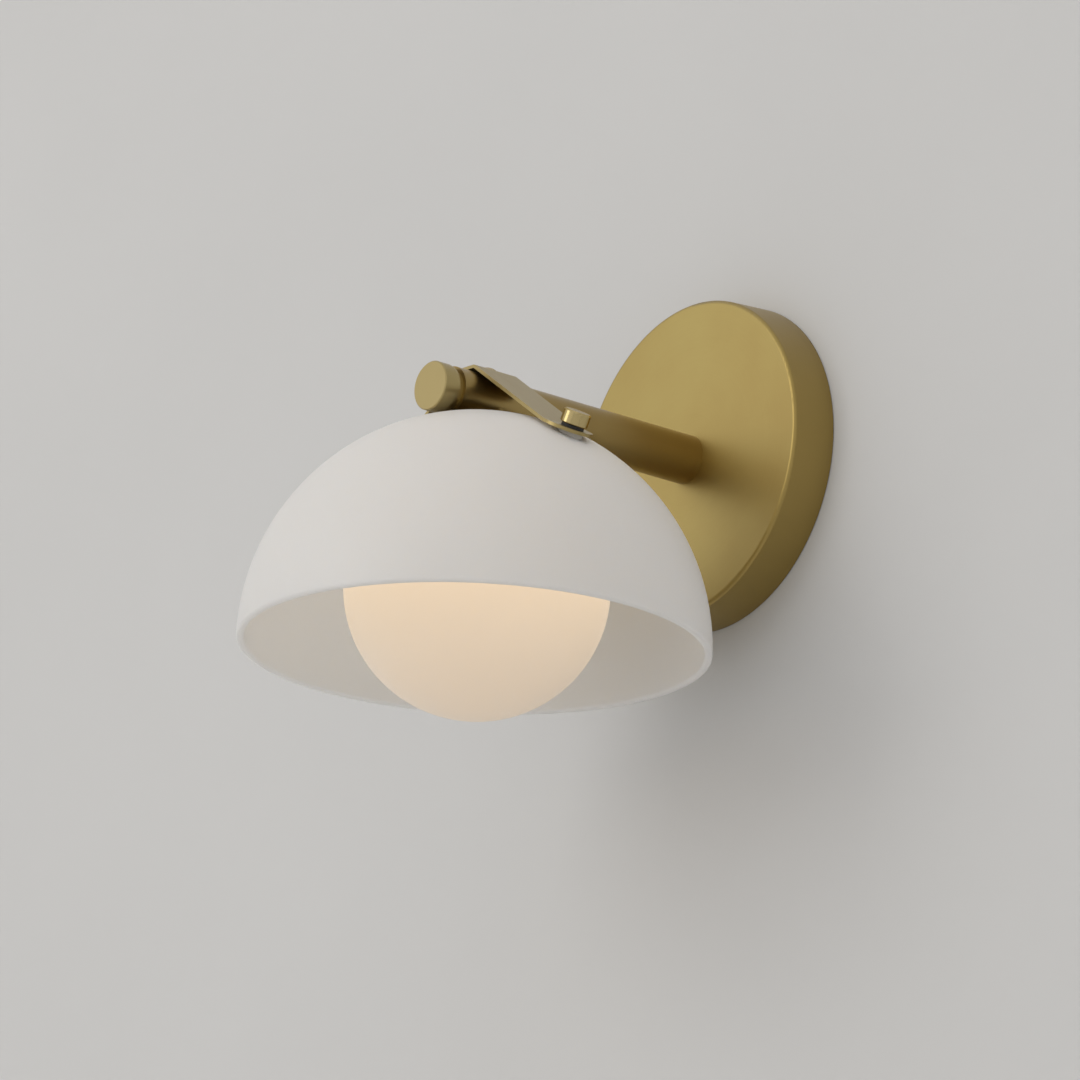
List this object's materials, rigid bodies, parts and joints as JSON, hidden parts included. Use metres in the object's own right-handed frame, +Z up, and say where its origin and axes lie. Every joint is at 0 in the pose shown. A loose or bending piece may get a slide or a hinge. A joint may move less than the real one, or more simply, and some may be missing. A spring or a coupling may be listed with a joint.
{
  "type": "downlight wall sconce",
  "caption": "Wall light: round canopy, straight arm, and a glass dome shade hung under the arm by a folded strap with thumb knobs, over a glass globe.",
  "frame": {"origin": "middle of the wall screw pattern, on the wall plane at the centre of the canopy's back", "axes": "+Y into the wall, +Z up, +X to the right of someone facing the wall; the arm runs along -Y"},
  "size_m": [0.178, 0.207, 0.1876],
  "materials": {
    "brass": "satin brushed brass",
    "brass_screw": "polished brass",
    "steel": "zinc plated steel",
    "green_zinc": "green dyed plating",
    "black_plastic": "matt",
    "dome_glass": "satin opal glass",
    "globe_glass": "satin opal glass, lit warm",
    "clear_silicone": "translucent silicone",
    "black_rubber": "matt black",
    "ceramic": "glazed ceramic, standing in as gloss plastic",
    "lamp_glass": "frosted capsule"
  },
  "bodies": {
    "fixture": {"canopy": "brass", "wall_bracket": "steel", "canopy_screws": "brass_screw", "ground_screw": "green_zinc", "arm_tube": "brass", "arm_plug": "steel", "arm_nipple": "steel", "arm_lock_washer": "steel", "arm_nut": "steel", "wire_bushing": "black_plastic", "end_cap": "brass", "strap": "brass", "strap_screw": "brass_screw", "glass_dome": "dome_glass", "foot_gaskets": "clear_silicone", "inner_gaskets": "clear_silicone", "inner_washers": "brass_screw", "dome_studs": "brass_screw", "knob_washers": "black_rubber", "stem_nipple": "steel", "stem_nut": "steel", "stem_collar": "brass", "crown_plate": "brass", "crown_seal": "clear_silicone", "lower_nut": "steel", "globe_fitter": "brass", "globe_screws": "steel", "glass_globe": "globe_glass", "lamp_holder": "ceramic", "lamp_base": "ceramic", "lamp_bulb": "lamp_glass"},
    "left_knob": {"thumb_knob_left": "brass"},
    "right_knob": {"thumb_knob_right": "brass"}
  },
  "joints": [
    {"name": "left_knob_turn", "type": "hinge", "parent": "fixture", "child": "left_knob", "pos_m": [-0.05241, -0.118, -0.02005], "axis": [-0.4695, 0, 0.8829], "range_deg": [0, 360]},
    {"name": "right_knob_turn", "type": "hinge", "parent": "fixture", "child": "right_knob", "pos_m": [0.05241, -0.118, -0.02005], "axis": [0.4695, 0, 0.8829], "range_deg": [0, 360]}
  ]
}
